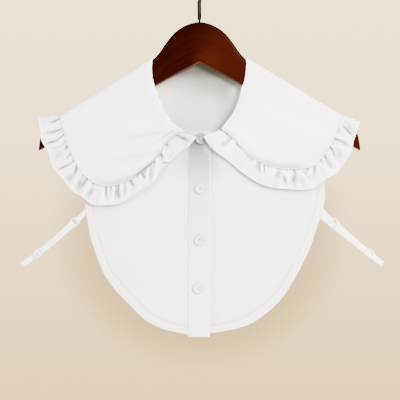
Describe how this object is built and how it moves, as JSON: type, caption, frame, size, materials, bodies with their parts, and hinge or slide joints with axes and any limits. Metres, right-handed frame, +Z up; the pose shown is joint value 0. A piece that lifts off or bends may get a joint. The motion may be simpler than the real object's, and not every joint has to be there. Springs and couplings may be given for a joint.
{
  "type": "detachable ruffled collar on a hanger",
  "caption": "False collar with wide flat ruffled leaves, buttoned bib front, back panel and elastic side straps, hung on a shaped wooden hanger.",
  "frame": {"origin": "inner top of the hanger's hook, where it rests on a rail", "axes": "+X to the viewer's right of the buttoned front, +Y from front to back, +Z up"},
  "size_m": [0.4539, 0.0366, 0.4642],
  "materials": {
    "mahogany_wood": "dark red-brown stained and varnished",
    "hook_metal": "dark metal, half bright",
    "bib_cloth": "thin plain white woven cloth, matt",
    "placket_cloth": "doubled plain white woven cloth, matt",
    "collar_cloth": "plain white woven cloth, matt and smooth",
    "ruffle_cloth": "gathered plain white woven cloth, matt",
    "strap_web": "white narrow elastic webbing",
    "white_plastic": "white, half gloss"
  },
  "bodies": {
    "root": {"hanger": "mahogany_wood", "hook": "hook_metal", "front_right": "bib_cloth", "front_left": "bib_cloth", "back_panel": "bib_cloth", "placket": "placket_cloth", "collar_right": "collar_cloth", "collar_left": "collar_cloth", "ruffle_right": "ruffle_cloth", "ruffle_left": "ruffle_cloth", "button_1": "white_plastic", "button_2": "white_plastic", "button_3": "white_plastic", "button_4": "white_plastic", "ring_right": "white_plastic", "ring_left": "white_plastic", "slider_right": "white_plastic", "slider_left": "white_plastic", "tab_right": "strap_web", "tab_left": "strap_web", "strap_right": "strap_web", "strap_left": "strap_web"}
  },
  "joints": []
}
